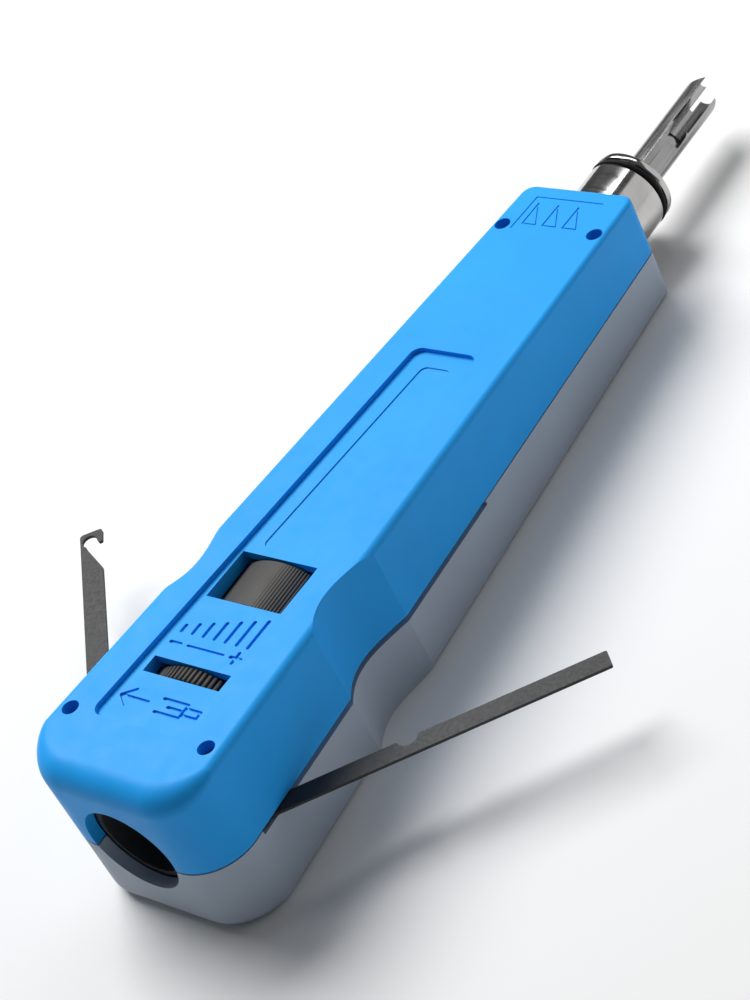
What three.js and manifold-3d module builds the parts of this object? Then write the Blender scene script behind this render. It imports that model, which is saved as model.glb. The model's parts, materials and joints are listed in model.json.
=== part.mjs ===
// Impact punch down tool with a two-shell handle, an adjustable impact hammer, a spare-blade
// store in the rear end, a folding wire hook and a folding spudger.
//
// Tool frame, in millimetres: +X runs along the blade axis from the rear face to the tip, +Z points
// out of the blue cover and +Y is the user's left. z = 0 is the plane where the two covers meet.
// The part frame is the tool frame turned so that the flat grey underside lies on z = 0.

import * as THREE from 'three';
import { mergeVertices } from 'three/addons/utils/BufferGeometryUtils.js';
import Module from 'manifold-3d';

const wasm = await Module();
wasm.setup();

// ---------------------------------------------------------------- driving dimensions
const HANDLE_LENGTH = 146.2;
const REAR_HALF_WIDTH = 18.3;
const FRONT_HALF_WIDTH = 11.95;
// The finger scoop in each side: two Bezier curves in plan, meeting at the deepest point.
const SCOOP = [
  [37.5, 17.44], [40, 15.6], [42.6, 14.05], [46.2, 14.05], [49.4, 14.05], [52.6, 15.1], [57.3, 16.38],
];
const REAR_CORNER_RADIUS = 9.2;
const FRONT_CORNER_RADIUS = 2.6;
const TOP_HEIGHT = [17.79, 12.13];      // blue cover's height over the parting plane, rear and front
const BOTTOM_HEIGHT = [14.62, 9.71];    // grey cover's depth below it, rear and front
const EDGE_FILLET = 0.9;
const REAR_FILLET = 4.6;
const GREY_REAR_FILLET = 3;
const WALL = 2.2;
const PARTING_GAP = 0.15;               // each cover stops this far from the parting plane
const AXIS_Z = 1.9;                     // height of the blade axis over the parting plane

const SCREW_REAR = [12.65, 14.8];       // x and y of the cover screws
const SCREW_FRONT = [134.9, 10.07];
const SCREW_HOLE_RADIUS = 1.5;
const SCREW_SHANK_RADIUS = 1.15;
const SCREW_HEAD_RADIUS = 1.7;
const COUNTERBORE_RADIUS = 1.95;
const COUNTERBORE_DEPTH = 2.6;

const PANEL = { x0: 12.8, x1: 101.7, halfRear: 10.5, halfFront: 6.9, depth: 0.9, corner: 2 };
const IMPACT_WINDOW = { x0: 40.6, x1: 51.1, half: 8.1 };
const WHEEL_WINDOW = { x0: 23.5, x1: 26.9, half: 8.3 };

// The slots that the strips fold into; each starts as far back as its strip swings.
const STRIP_SLOT = { hookX0: 7.6, spudgerX0: 11.3, x1: 82.7, inner: 10.4, floor: -0.95, eyeRadius: 3.35 };
const STRIP_TOP = -0.1;
const STRIP_THICKNESS = 0.6;
const EYE_RADIUS = 3;
const EYE_BORE = 2.1;
const SLEEVE_RADIUS = 1.95;
const SLEEVE_BORE = 1.35;
const HOOK_ANGLE = 42.2;      // degrees out from +X at rest
const SPUDGER_ANGLE = -42.8;

const DRUM = {
  x0: 40.9, x1: 50.8, radius: 11.6, raised: 12.95, from: -92, to: 41, hub: 9.4, hubX0: 38, hubX1: 52.4,
};
const CAM = { inner: 6.6, outer: 9, low: 0.3, high: 3.3, sweep: 50, follower: 10, lead: 5 };
const WHEEL = { x0: 23.8, x1: 26.6, radius: 11.7, raised: 13.8, from: -85, to: 45 };
const TUBE = {
  flange: 8.45, mouth: 7.4, outer: 5.4, bore: 4.1, x0: 2.2, cupEnd: 10.5, boreEnd: 52, x1: 53.6,
};
const TUBE_CLEAR = 5.75;
const REAR_HOLE_RADIUS = 8.86;

const SEAT = { x0: 58.95, x1: 60, radius: 9, lugEnd: 55.85 };
const MAIN_SPRING = { x0: 60.4, x1: 89.4, mean: 6.3, wire: 0.85, coils: 8 };
const HAMMER = { x0: 90, x1: 114, radius: 8.2, bore: 2.5, boreStart: 92 };
const LATCH = { x0: 104.6, x1: 109.4, half: 3.6, low: -5, high: 7.4, hole: 2.5, lift: 1.8 };
const TAIL = { x0: 109.9, radius: 2.2, shoulder: 3.4 };
const RETURN_SPRING = { x0: 114.4, x1: 127.6, mean: 4.6, wire: 0.55, coils: 7 };
const HOLDER = { x0: 128, x1: 156.2, radius: 7.8, neck: 6.5, noseEnd: 159.2, bore: 3.65, boreStart: 140.4 };
const ORING = { x: 157, mean: 7.4, wire: 0.5 };
const RETAINER = { x0: 157.8, x1: 159.2, inner: 6.8, outer: 7.8 };
const FRONT_BORE = 8.4;
const BUSHING = { x0: 138.2, x1: 145.9, inner: 8.05, outer: 9.45 };
const BLADE = { x0: 141, x1: 188.1, radius: 3.35 };
const DETENT = { x: 149, ball: 1.1, hole: 1.4 };

const FAR = 30;         // beyond the handle in every cross direction
const REST_X = 73.1;    // tool x of the part's origin, half way along the underside

// ---------------------------------------------------------------- solids and booleans
function solidFrom(geometry) {
  const bare = geometry.clone();
  for (const name of Object.keys(bare.attributes)) {
    if (name !== 'position') bare.deleteAttribute(name);
  }
  const welded = mergeVertices(bare, 1e-4);
  const index = welded.index.array;
  const position = welded.attributes.position.array;
  const triangles = [];
  let volume = 0;
  for (let i = 0; i < index.length; i += 3) {
    const [a, b, c] = [index[i], index[i + 1], index[i + 2]];
    if (a === b || b === c || c === a) continue;
    triangles.push(a, b, c);
    const p = new THREE.Vector3().fromArray(position, a * 3);
    const q = new THREE.Vector3().fromArray(position, b * 3);
    const r = new THREE.Vector3().fromArray(position, c * 3);
    volume += p.dot(q.cross(r));
  }
  if (volume < 0) {
    for (let i = 0; i < triangles.length; i += 3) {
      [triangles[i], triangles[i + 1]] = [triangles[i + 1], triangles[i]];
    }
  }
  return new wasm.Manifold(new wasm.Mesh({
    numProp: 3,
    vertProperties: new Float32Array(position),
    triVerts: new Uint32Array(triangles),
  }));
}

function geometryFrom(solid) {
  const mesh = solid.getMesh();
  const geometry = new THREE.BufferGeometry();
  geometry.setAttribute('position', new THREE.BufferAttribute(new Float32Array(mesh.vertProperties), 3));
  geometry.setIndex(new THREE.BufferAttribute(new Uint32Array(mesh.triVerts), 1));
  geometry.computeVertexNormals();
  return geometry;
}

const joined = (solids) => solids.reduce((sum, solid) => sum.add(solid));
const without = (solid, cuts) => cuts.reduce((rest, cut) => rest.subtract(cut), solid);

// A body turned about the blade axis, from [radius, x] points that start and end on the axis
// or close on themselves.
function turned(profile, segments = 28) {
  const points = profile.map(([radius, x]) => new THREE.Vector2(radius, x));
  const lathe = new THREE.LatheGeometry(points, segments);
  lathe.rotateZ(-Math.PI / 2).translate(0, 0, AXIS_Z);
  return solidFrom(lathe);
}

const rod = (radius, x0, x1, segments = 28) => (
  turned([[0, x0], [radius, x0], [radius, x1], [0, x1]], segments)
);

const ring = (inner, outer, x0, x1, segments = 32) => (
  turned([[inner, x0], [outer, x0], [outer, x1], [inner, x1], [inner, x0]], segments)
);

// An upright round bar, from z0 to z1.
function post(x, y, radius, z0, z1, segments = 16) {
  const bar = new THREE.CylinderGeometry(radius, radius, z1 - z0, segments);
  bar.rotateX(Math.PI / 2).translate(x, y, (z0 + z1) / 2);
  return solidFrom(bar);
}

function block(x0, x1, y0, y1, z0, z1) {
  const box = new THREE.BoxGeometry(x1 - x0, y1 - y0, z1 - z0);
  box.translate((x0 + x1) / 2, (y0 + y1) / 2, (z0 + z1) / 2);
  return solidFrom(box);
}

// A coil spring along X, as a wire of six flats swept along a helix.
function coil({ x0, x1, mean, wire, coils }, steps = 12) {
  class Helix extends THREE.Curve {
    getPoint(t, target = new THREE.Vector3()) {
      const turn = t * coils * Math.PI * 2;
      const x = x0 + wire + t * (x1 - x0 - 2 * wire);
      return target.set(x, mean * Math.cos(turn), mean * Math.sin(turn));
    }
  }
  const section = new THREE.Shape();
  for (let i = 0; i < 6; i += 1) {
    const angle = (i * Math.PI) / 3;
    const [u, v] = [wire * Math.cos(angle), wire * Math.sin(angle)];
    if (i === 0) section.moveTo(u, v);
    else section.lineTo(u, v);
  }
  return new THREE.ExtrudeGeometry(section, {
    steps: Math.round(coils * steps), extrudePath: new Helix(),
  });
}

// ---------------------------------------------------------------- handle outline
const blend = (pair, x) => pair[0] + ((pair[1] - pair[0]) * x) / HANDLE_LENGTH;
const topAt = (x) => blend(TOP_HEIGHT, x);
const bottomAt = (x) => -blend(BOTTOM_HEIGHT, x);

// The finger scoop's curve on the +Y side, from the rear.
function scoopCurve(steps) {
  const points = SCOOP.map(([x, y]) => new THREE.Vector2(x, y));
  const rear = new THREE.CubicBezierCurve(...points.slice(0, 4)).getPoints(steps);
  const front = new THREE.CubicBezierCurve(...points.slice(3)).getPoints(steps);
  return [...rear, ...front.slice(1)];
}

// Plan outline of the handle without the scoops, anticlockwise.
function plainOutline(arcSteps = 6) {
  const half = new THREE.Path();
  const rearCentre = REAR_CORNER_RADIUS;
  half.moveTo(0, REAR_HALF_WIDTH - REAR_CORNER_RADIUS);
  half.absarc(rearCentre, REAR_HALF_WIDTH - REAR_CORNER_RADIUS, REAR_CORNER_RADIUS,
    Math.PI, Math.PI / 2, true);
  half.lineTo(HANDLE_LENGTH - FRONT_CORNER_RADIUS, FRONT_HALF_WIDTH);
  half.absarc(HANDLE_LENGTH - FRONT_CORNER_RADIUS, FRONT_HALF_WIDTH - FRONT_CORNER_RADIUS,
    FRONT_CORNER_RADIUS, Math.PI / 2, 0, true);
  const left = half.getPoints(arcSteps).filter((point, i, all) => (
    i === 0 || point.distanceTo(all[i - 1]) > 1e-3
  ));
  const right = left.map((point) => new THREE.Vector2(point.x, -point.y)).reverse();
  return [...left, ...right].reverse();
}

// The outline moved inwards by a distance that may change from point to point.
function inset(outline, distance) {
  return outline.map((point, i) => {
    const before = outline[(i + outline.length - 1) % outline.length];
    const after = outline[(i + 1) % outline.length];
    const first = new THREE.Vector2().subVectors(point, before).normalize();
    const second = new THREE.Vector2().subVectors(after, point).normalize();
    const inward = new THREE.Vector2(-first.y - second.y, first.x + second.x).normalize();
    const stretch = Math.max(0.7, inward.dot(new THREE.Vector2(-second.y, second.x)));
    return point.clone().addScaledVector(inward, distance(point) / stretch);
  });
}

// A closed body skinned over rings of 3-D points, all with the same count, capped at both ends.
function skinned(rings) {
  const count = rings[0].length;
  const positions = rings.flat().flatMap((point) => point.toArray());
  const index = [];
  for (let r = 0; r + 1 < rings.length; r += 1) {
    for (let i = 0; i < count; i += 1) {
      const [a, b] = [r * count + i, r * count + ((i + 1) % count)];
      index.push(a, b, b + count, a, b + count, a + count);
    }
  }
  const cap = (ringIndex, flip) => {
    const flat = rings[ringIndex].map((point) => new THREE.Vector2(point.x, point.y));
    for (const [a, b, c] of THREE.ShapeUtils.triangulateShape(flat, [])) {
      const corners = flip ? [a, c, b] : [a, b, c];
      index.push(...corners.map((corner) => corner + ringIndex * count));
    }
  };
  cap(0, true);
  cap(rings.length - 1, false);
  const geometry = new THREE.BufferGeometry();
  geometry.setAttribute('position', new THREE.Float32BufferAttribute(positions, 3));
  geometry.setIndex(index);
  return solidFrom(geometry);
}

// An upright prism over a plan outline given as [x, y] points.
function prism(outline, z0, z1) {
  return skinned([z0, z1].map((z) => outline.map(([x, y]) => new THREE.Vector3(x, y, z))));
}

// What the two finger scoops take away, `wall` further in than their surface.
function scoops(wall = 0) {
  return [1, -1].map((side) => {
    const curve = scoopCurve(7).map(({ x, y }) => [x, side * (y - wall)]);
    const outline = [[SCOOP[0][0], side * FAR], ...curve, [SCOOP[6][0], side * FAR]];
    return prism(side > 0 ? outline : outline.reverse(), -FAR, FAR);
  });
}

// Half of the handle on one side of the parting plane, with rounded outer edges. The fillet is
// larger round the rear end.
function outerHalf(heightAt, sign, rearFillet) {
  const outline = plainOutline();
  const filletAt = (point) => {
    const share = Math.min(1, Math.max(0, 1 - point.x / (1.4 * REAR_CORNER_RADIUS)));
    return EDGE_FILLET + (rearFillet - EDGE_FILLET) * share * share * (3 - 2 * share);
  };
  const rings = [outline.map((point) => new THREE.Vector3(point.x, point.y, sign * PARTING_GAP))];
  const steps = 3;
  for (let k = 0; k <= steps; k += 1) {
    const angle = (k / steps) * (Math.PI / 2);
    const moved = inset(outline, (point) => filletAt(point) * (1 - Math.cos(angle)));
    rings.push(moved.map((point, i) => {
      const drop = filletAt(outline[i]) * (1 - Math.sin(angle));
      return new THREE.Vector3(point.x, point.y, heightAt(point.x) - sign * drop);
    }));
  }
  return without(skinned(rings), scoops());
}

// A plain inner volume: the outline moved in by `wall`, from zStart to `under` below the outer face.
function innerHalf(heightAt, sign, wall, under, zStart) {
  const moved = inset(plainOutline(), () => wall);
  const low = moved.map((point) => new THREE.Vector3(point.x, point.y, zStart));
  const high = moved.map((point) => (
    new THREE.Vector3(point.x, point.y, heightAt(point.x) - sign * under)
  ));
  return without(skinned([low, high]), scoops(wall));
}

// ---------------------------------------------------------------- what the covers have in common
const RIBS = [
  { x0: 18, x1: 20, bore: TUBE_CLEAR },
  { x0: 32, x1: 34, bore: TUBE_CLEAR },
  { x0: 60.6, x1: 62.4, bore: SEAT.radius + 0.35 },
  { x0: 78, x1: 80, bore: HAMMER.radius + 0.35 },
  { x0: 95, x1: 97, bore: HAMMER.radius + 0.35 },
  { x0: 120, x1: 122, bore: FRONT_BORE },
  { x0: 136, x1: 138, bore: FRONT_BORE },
];
const SCREW_PLACES = [
  [SCREW_REAR[0], SCREW_REAR[1]],
  [SCREW_REAR[0], -SCREW_REAR[1]],
  [SCREW_FRONT[0], SCREW_FRONT[1]],
  [SCREW_FRONT[0], -SCREW_FRONT[1]],
];
function ribsAndPosts(core) {
  const parts = RIBS.map(({ x0, x1 }) => block(x0, x1, -FAR, FAR, -FAR, FAR));
  for (const [x, y] of SCREW_PLACES) {
    parts.push(post(x, y, 3.1, -FAR, FAR));
  }
  for (const { x0, x1, half } of [IMPACT_WINDOW, WHEEL_WINDOW]) {
    const guard = block(x0 - 1.2, x1 + 1.2, -half - 1.7, half + 1.7, 8, FAR);
    parts.push(guard.subtract(block(x0 - 2, x1 + 2, -half, half, 7, FAR)));
  }
  return joined(parts).intersect(core);
}

function mechanismBores() {
  const cuts = RIBS.map(({ x0, x1, bore }) => rod(bore, x0 - 0.5, x1 + 0.5));
  cuts.push(rod(REAR_HOLE_RADIUS, -1, 11, 48));
  cuts.push(rod(DRUM.raised + 0.3, DRUM.x0 - 0.25, DRUM.x1 + 0.25, 48));
  cuts.push(rod(WHEEL.raised + 0.3, WHEEL.x0 - 0.25, WHEEL.x1 + 0.25, 48));
  cuts.push(rod(FRONT_BORE, 124, HANDLE_LENGTH + 1));
  cuts.push(rod(BUSHING.outer + 0.25, BUSHING.x0 - 0.3, HANDLE_LENGTH + 1));
  for (const [x, y] of SCREW_PLACES) {
    cuts.push(post(x, y, SCREW_HOLE_RADIUS, -FAR, FAR, 24));
  }
  return cuts;
}

function cover(heightAt, sign, rearFillet) {
  const outer = outerHalf(heightAt, sign, rearFillet);
  const cavity = innerHalf(heightAt, sign, WALL, WALL + 0.3, -sign);
  const core = innerHalf(heightAt, sign, WALL / 2, WALL / 2, sign * PARTING_GAP);
  const shell = outer.subtract(cavity).add(ribsAndPosts(core));
  return without(shell, mechanismBores());
}

// The sunk panel of the blue cover: a tapering rounded outline, cut to an even depth.
function panelCut() {
  const { x0, x1, halfRear, halfFront, depth, corner } = PANEL;
  const shape = new THREE.Shape();
  const sideAngle = Math.atan2(halfRear - halfFront, x1 - x0);
  const quarter = Math.PI / 2;
  shape.absarc(x0 + corner, -halfRear + corner, corner, -Math.PI, -quarter + sideAngle, false);
  shape.absarc(x1 - corner, -halfFront + corner, corner, -quarter + sideAngle, 0, false);
  shape.absarc(x1 - corner, halfFront - corner, corner, 0, quarter - sideAngle, false);
  shape.absarc(x0 + corner, halfRear - corner, corner, quarter - sideAngle, Math.PI, false);
  const outline = shape.getPoints(5).filter((point, i, all) => (
    point.distanceTo(all[(i + all.length - 1) % all.length]) > 1e-3
  ));
  const floor = outline.map(({ x, y }) => new THREE.Vector3(x, y, topAt(x) - depth));
  const over = outline.map(({ x, y }) => new THREE.Vector3(x, y, topAt(x) + 3));
  return skinned([floor, over]);
}

function topCover() {
  const windowCut = ({ x0, x1, half }) => block(x0, x1, -half, half, 8, FAR);
  return without(cover(topAt, 1, REAR_FILLET), [
    panelCut(), windowCut(IMPACT_WINDOW), windowCut(WHEEL_WINDOW),
  ]);
}

function bottomCover() {
  const cuts = SCREW_PLACES.map(([x, y]) => (
    post(x, y, COUNTERBORE_RADIUS, -FAR, bottomAt(x) + COUNTERBORE_DEPTH, 24)
  ));
  for (const side of [-1, 1]) {
    const [y0, y1] = [side * STRIP_SLOT.inner, side * FAR].sort((a, b) => a - b);
    const x0 = side > 0 ? STRIP_SLOT.hookX0 : STRIP_SLOT.spudgerX0;
    cuts.push(block(x0, STRIP_SLOT.x1, y0, y1, STRIP_SLOT.floor, 5));
    cuts.push(post(SCREW_REAR[0], side * SCREW_REAR[1], STRIP_SLOT.eyeRadius, STRIP_SLOT.floor, 5));
  }
  return without(cover(bottomAt, -1, GREY_REAR_FILLET), cuts);
}

// ---------------------------------------------------------------- fasteners and folding strips
function coverScrew([x, y]) {
  const seat = bottomAt(x) + COUNTERBORE_DEPTH;
  const head = post(x, y, SCREW_HEAD_RADIUS, seat - 1.7, seat - 0.3);
  const shank = post(x, y, SCREW_SHANK_RADIUS, seat - 0.5, topAt(x) - 2, 16);
  const driver = block(x - 0.25, x + 0.25, y - 1.2, y + 1.2, seat - 2, seat - 1.1);
  const crossed = block(x - 1.2, x + 1.2, y - 0.25, y + 0.25, seat - 2, seat - 1.1);
  return without(head.add(shank), [driver, crossed]);
}

function pivotSleeve([x, y]) {
  const [z0, z1] = [STRIP_SLOT.floor + 0.2, -0.05];
  return post(x, y, SLEEVE_RADIUS, z0, z1).subtract(post(x, y, SLEEVE_BORE, z0 - 1, z1 + 1));
}

// A flat steel strip, drawn along +X from its pivot and then turned to its angle.
function strip(shape, [x, y], angle) {
  const plate = new THREE.ExtrudeGeometry(shape, {
    depth: STRIP_THICKNESS, bevelEnabled: false, curveSegments: 10,
  });
  plate.translate(0, 0, STRIP_TOP - STRIP_THICKNESS);
  const eye = post(0, 0, EYE_RADIUS, STRIP_TOP - STRIP_THICKNESS, STRIP_TOP, 32);
  const bore = post(0, 0, EYE_BORE, -5, 5, 24);
  return solidFrom(plate).add(eye).subtract(bore)
    .rotate([0, 0, angle]).translate([x, y, 0]);
}

// The wire hook: a strip whose end is cut back into a small barb.
function hookShape() {
  const [inner, outer, end] = [0.4, 4.5, 63.35];
  const shape = new THREE.Shape();
  shape.moveTo(0.5, inner);
  shape.lineTo(52.6, inner);
  shape.lineTo(59.4, 3.4);
  shape.absarc(60.95, 2.65, 1.42, Math.PI * 0.82, -Math.PI * 0.33, true);
  shape.lineTo(60.4, 1.1);
  shape.lineTo(59.9, 0.65);
  shape.lineTo(60.1, 0.1);
  shape.lineTo(62.8, 0.1);
  shape.lineTo(end, 0.65);
  shape.lineTo(end, outer - 0.5);
  shape.lineTo(end - 0.5, outer);
  shape.lineTo(3.4, outer);
  shape.lineTo(0.5, 3);
  return shape;
}

// The spudger: a straight strip with one round nick in its inner edge.
function spudgerShape() {
  const [low, high, end, nick, radius] = [-0.9, 2.7, 60.6, 27, 1.9];
  const shape = new THREE.Shape();
  shape.moveTo(0, low);
  shape.lineTo(end - 0.3, low);
  shape.lineTo(end, low + 0.3);
  shape.lineTo(end, high - 0.3);
  shape.lineTo(end - 0.3, high);
  shape.lineTo(nick + radius, high);
  shape.absarc(nick, high + 0.4, radius, -0.2, -Math.PI + 0.2, true);
  shape.lineTo(0, high);
  return shape;
}

// ---------------------------------------------------------------- impact mechanism
// A ramp on the drum's front face: a ring sector whose height changes evenly along its sweep.
function ramp(startAngle, endAngle, heightAt, xBase, steps = 10) {
  const rings = [];
  for (let i = 0; i <= steps; i += 1) {
    const share = i / steps;
    const angle = THREE.MathUtils.degToRad(startAngle + (endAngle - startAngle) * share);
    const [c, s] = [Math.cos(angle), Math.sin(angle)];
    const x = xBase + heightAt(share);
    rings.push([
      [xBase - 0.4, CAM.inner], [xBase - 0.4, CAM.outer], [x, CAM.outer], [x, CAM.inner],
    ].map(([px, radius]) => [px, radius * c, AXIS_Z + radius * s]));
  }
  const positions = rings.flat(2);
  const index = [0, 1, 2, 0, 2, 3];
  for (let r = 0; r < steps; r += 1) {
    for (let i = 0; i < 4; i += 1) {
      const [a, b] = [r * 4 + i, r * 4 + ((i + 1) % 4)];
      index.push(a, b + 4, b, a, a + 4, b + 4);
    }
  }
  const last = steps * 4;
  index.push(last, last + 2, last + 1, last, last + 3, last + 2);
  const geometry = new THREE.BufferGeometry();
  geometry.setAttribute('position', new THREE.Float32BufferAttribute(positions, 3));
  geometry.setIndex(index);
  return solidFrom(geometry);
}

const CAM_STARTS = [90, 270];   // where the follower's two lugs stand round the axis

// The part of a ring between two angles, in degrees from +Z towards +Y, less than half a turn apart.
function sector(inner, outer, x0, x1, from, to) {
  const halfSpace = (y0, y1, angle) => (
    block(x0 - 1, x1 + 1, y0, y1, -FAR, FAR).rotate([-angle, 0, 0]).translate([0, 0, AXIS_Z])
  );
  return without(ring(inner, outer, x0, x1, 72), [halfSpace(0, FAR, to), halfSpace(-FAR, 0, from)]);
}

function impactDrum() {
  const body = turned([
    [TUBE_CLEAR, DRUM.hubX0], [DRUM.hub, DRUM.hubX0], [DRUM.hub, DRUM.x0], [DRUM.radius, DRUM.x0],
    [DRUM.radius, DRUM.x1], [DRUM.hub, DRUM.x1], [DRUM.hub, DRUM.hubX1], [TUBE_CLEAR, DRUM.hubX1],
    [TUBE_CLEAR, DRUM.hubX0],
  ], 48);
  const crown = sector(DRUM.radius - 1, DRUM.raised, DRUM.x0, DRUM.x1, DRUM.from, DRUM.to);
  const rise = (share) => CAM.high - (CAM.high - CAM.low) * Math.min(1, Math.max(0,
    (share * (CAM.sweep + 2 * CAM.lead + CAM.follower) - CAM.lead) / CAM.sweep));
  const ramps = CAM_STARTS.map((angle) => ramp(angle - CAM.lead - CAM.follower / 2,
    angle + CAM.sweep + CAM.lead + CAM.follower / 2, rise, DRUM.hubX1, 12));
  return joined([body, crown, ...ramps]);
}

function springSeat() {
  const disc = turned([
    [0, SEAT.x0], [SEAT.radius, SEAT.x0], [SEAT.radius, SEAT.x1], [4.6, SEAT.x1],
    [4.6, SEAT.x1 + 3], [0, SEAT.x1 + 3],
  ]);
  const lugs = CAM_STARTS.map((angle) => ramp(angle - CAM.follower / 2, angle + CAM.follower / 2,
    () => SEAT.x0 - SEAT.lugEnd - 0.3, SEAT.lugEnd + 0.4, 2));
  return joined([disc, ...lugs]);
}

function hammer() {
  const { x0, x1, radius, bore, boreStart } = HAMMER;
  const body = turned([
    [0, x0 - 4], [4.6, x0 - 4], [4.6, x0], [radius, x0], [radius, x1 - 1], [radius - 1, x1],
    [bore, x1], [bore, boreStart], [0, boreStart],
  ]);
  return body.subtract(block(LATCH.x0 - 0.3, LATCH.x1 + 0.3, -LATCH.half - 0.25, LATCH.half + 0.25,
    AXIS_Z - 7, AXIS_Z + FAR));
}

function hammerLatch() {
  const { x0, x1, half, low, high, hole, lift } = LATCH;
  const plate = block(x0, x1, -half, half, AXIS_Z + low, AXIS_Z + high);
  return plate.subtract(rod(hole, x0 - 1, x1 + 1, 24).translate([0, 0, lift]));
}

function bladeHolder() {
  const { x0, x1, radius, neck, noseEnd, bore, boreStart } = HOLDER;
  const body = turned([
    [0, TAIL.x0], [TAIL.radius, TAIL.x0], [TAIL.radius, 118], [TAIL.shoulder, 119],
    [TAIL.shoulder, x0], [radius - 0.5, x0],
    [radius, x0 + 0.5], [radius, x1 - 0.3], [radius - 0.3, x1], [neck, x1], [neck, noseEnd],
    [bore + 0.3, noseEnd], [bore, noseEnd - 0.3], [bore, boreStart], [0, boreStart],
  ], 40);
  const pocket = post(DETENT.x, 0, DETENT.hole, AXIS_Z + bore - 0.5, AXIS_Z + radius - 0.9);
  return body.subtract(pocket);
}

// The blade: a round shank, a pocket with a stub in it, and a forked half-pipe that seats the wire.
// It is drawn with the pocket facing up and then turned to face up and to the right.
function punchBlade() {
  const { x0, x1, radius } = BLADE;
  const bar = turned([
    [0, x0], [radius - 0.4, x0], [radius, x0 + 0.4], [radius, 147.7], [radius - 0.45, 148.2],
    [radius - 0.45, 149.8], [radius, 150.3], [radius, x1], [0, x1],
  ], 28);
  const [low, high] = [AXIS_Z - FAR, AXIS_Z + FAR];
  const pocket = prism([
    [160.4, -2.3], [171.5, -2.3], [173.6, -1.9], [174.7, -0.5], [175.5, 0.4], [180, 1.35], [160.4, 1.35],
  ], AXIS_Z - 1.3, high);
  const pipe = rod(1.85, 174, x1 + 1, 20).add(
    block(174, x1 + 1, -1.85, 1.85, AXIS_Z, AXIS_Z + 5),
  ).translate([0, -0.3, 0.9]);
  const slot = block(181.5, x1 + 1, -0.4, 0.3, low, high);
  const shortProng = prism([
    [184.6, -0.4], [184.6, -1.9], [183.9, -2.7], [183, -3.2], [181, -3.7], [x1 + 1, -5], [x1 + 1, -0.4],
  ], low, high);
  const slant = prism([[x1, 0.3], [x1 + 4, 0.3], [x1 + 4, 5], [183.2, 5]], low, high);
  const stub = block(160.2, 170.4, -2.6, 0.05, AXIS_Z - 1.6, AXIS_Z + 1.9);
  return without(bar, [pocket, pipe, slot, shortProng, slant]).add(stub)
    .translate([0, 0, -AXIS_Z]).rotate([45, 0, 0]).translate([0, 0, AXIS_Z]);
}

// ---------------------------------------------------------------- spare-blade store
function storageTube() {
  const { flange, mouth, outer, bore, x0, cupEnd, boreEnd, x1 } = TUBE;
  return turned([
    [mouth, x0], [flange, x0], [flange, cupEnd], [outer, cupEnd + 2], [outer, x1], [0, x1],
    [0, boreEnd], [bore, boreEnd], [bore, cupEnd + 1.6], [mouth, cupEnd - 0.8], [mouth, x0],
  ], 36);
}

function releaseWheel() {
  const { x0, x1, radius, raised, from, to } = WHEEL;
  const disc = ring(TUBE_CLEAR, radius, x0, x1, 40).add(sector(radius - 1, raised, x0, x1, from, to));
  return disc.subtract(post(0, 0, 0.9, -1, 6, 12).rotate([0, 90, 0])
    .translate([WHEEL.x1 - 0.9, 0, AXIS_Z + 8.6]));
}

// ---------------------------------------------------------------- materials and assembly
const material = (color, roughness, metalness) => (
  new THREE.MeshStandardMaterial({ color, roughness, metalness })
);
const LOOKS = {
  blue: material(0x2f9cec, 0.5, 0),
  grey: material(0x69757f, 0.55, 0),
  dial: material(0x4d4b49, 0.6, 0),
  chrome: material(0xc9c9c9, 0.15, 1),
  steel: material(0x8f9092, 0.3, 1),
  darkSteel: material(0x55575a, 0.4, 1),
  spring: material(0xa8a8a6, 0.3, 1),
  rubber: material(0x141414, 0.8, 0),
  black: material(0x2a2b2d, 0.6, 0),
  brass: material(0xb59a5a, 0.35, 1),
};

const underside = new THREE.Vector3(REST_X, 0, bottomAt(REST_X));
const pitch = Math.atan2(BOTTOM_HEIGHT[0] - BOTTOM_HEIGHT[1], HANDLE_LENGTH);

const part = new THREE.Group();
const tool = new THREE.Group();
const turn = new THREE.Group();
tool.position.copy(underside).negate();
turn.rotation.y = pitch;
turn.add(tool);
part.add(turn);

function place(name, look, shape) {
  const geometry = shape.isBufferGeometry ? shape : geometryFrom(shape);
  const mesh = new THREE.Mesh(geometry, look);
  mesh.name = name;
  tool.add(mesh);
  return mesh;
}

place('top_cover', LOOKS.blue, topCover());
place('bottom_cover', LOOKS.grey, bottomCover());
const screwNames = ['rear_left', 'rear_right', 'front_left', 'front_right'];
SCREW_PLACES.forEach((spot, i) => {
  place(`cover_screw_${screwNames[i]}`, LOOKS.darkSteel, coverScrew(spot));
});
const hookPivot = [SCREW_REAR[0], SCREW_REAR[1]];
const spudgerPivot = [SCREW_REAR[0], -SCREW_REAR[1]];
place('hook_pivot_sleeve', LOOKS.steel, pivotSleeve(hookPivot));
place('spudger_pivot_sleeve', LOOKS.steel, pivotSleeve(spudgerPivot));
place('wire_hook', LOOKS.darkSteel, strip(hookShape(), hookPivot, HOOK_ANGLE));
place('spudger', LOOKS.darkSteel, strip(spudgerShape(), spudgerPivot, SPUDGER_ANGLE));
place('storage_tube', LOOKS.black, storageTube());
place('release_wheel', LOOKS.dial, releaseWheel());
const wheelSpring = place('release_wheel_spring', LOOKS.spring,
  coil({ x0: 27, x1: 31.6, mean: 7.6, wire: 0.45, coils: 3 }, 10));
wheelSpring.position.z = AXIS_Z;
place('impact_drum', LOOKS.dial, impactDrum());
place('spring_seat', LOOKS.steel, springSeat());
const mainSpring = place('main_spring', LOOKS.spring, coil(MAIN_SPRING, 11));
mainSpring.position.z = AXIS_Z;
place('hammer', LOOKS.steel, hammer());
place('hammer_latch', LOOKS.darkSteel, hammerLatch());
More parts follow.
